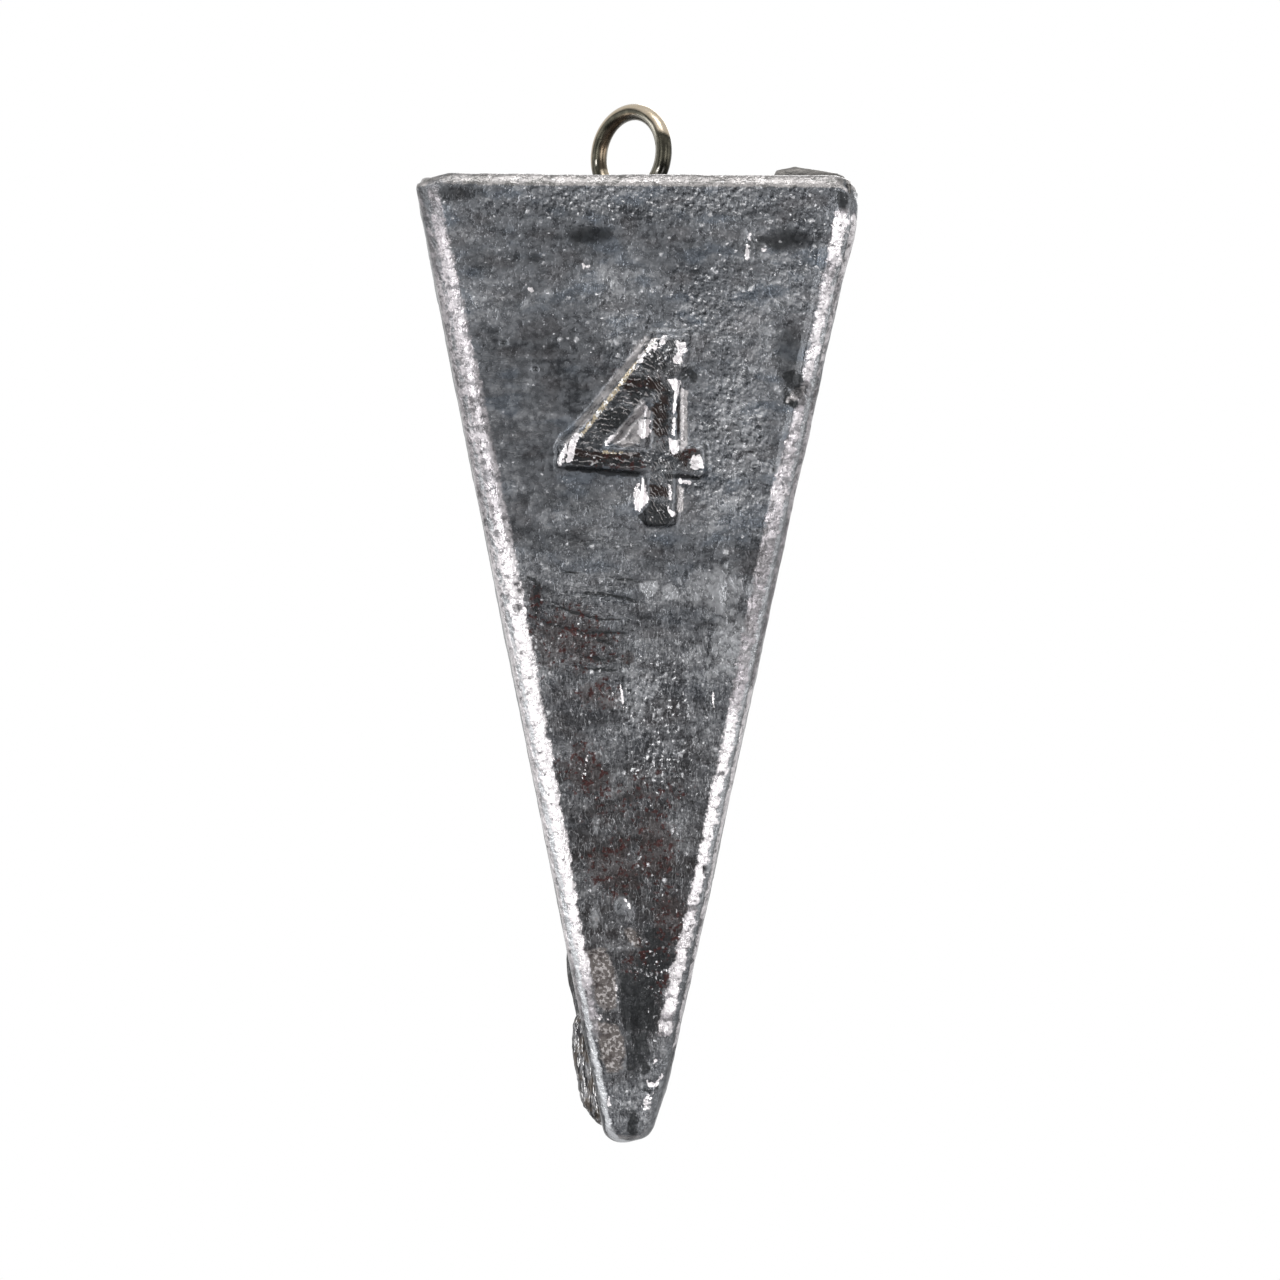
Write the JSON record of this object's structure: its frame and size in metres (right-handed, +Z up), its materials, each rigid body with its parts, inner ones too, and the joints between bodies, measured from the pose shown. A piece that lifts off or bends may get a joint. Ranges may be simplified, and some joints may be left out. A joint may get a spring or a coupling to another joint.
{
  "type": "fishing sinker",
  "caption": "Cast lead pyramid sinker with a flat top, a blunt tip and a cast-in brass wire eye to clip a line to.",
  "frame": {"origin": "middle of the wire eye's loop", "axes": "+Z up along the sinker, from the tip towards the eye; the numbered side faces -Y and the eye's hole runs along +X +Y"},
  "size_m": [0.0231, 0.0231, 0.0555],
  "materials": {
    "cast_lead": "rough cast lead, dull blue-grey with bright worn corners",
    "brass_wire": "tarnished wire"
  },
  "bodies": {
    "root": {"lead_body": "cast_lead", "wire_eye": "brass_wire"}
  },
  "joints": []
}
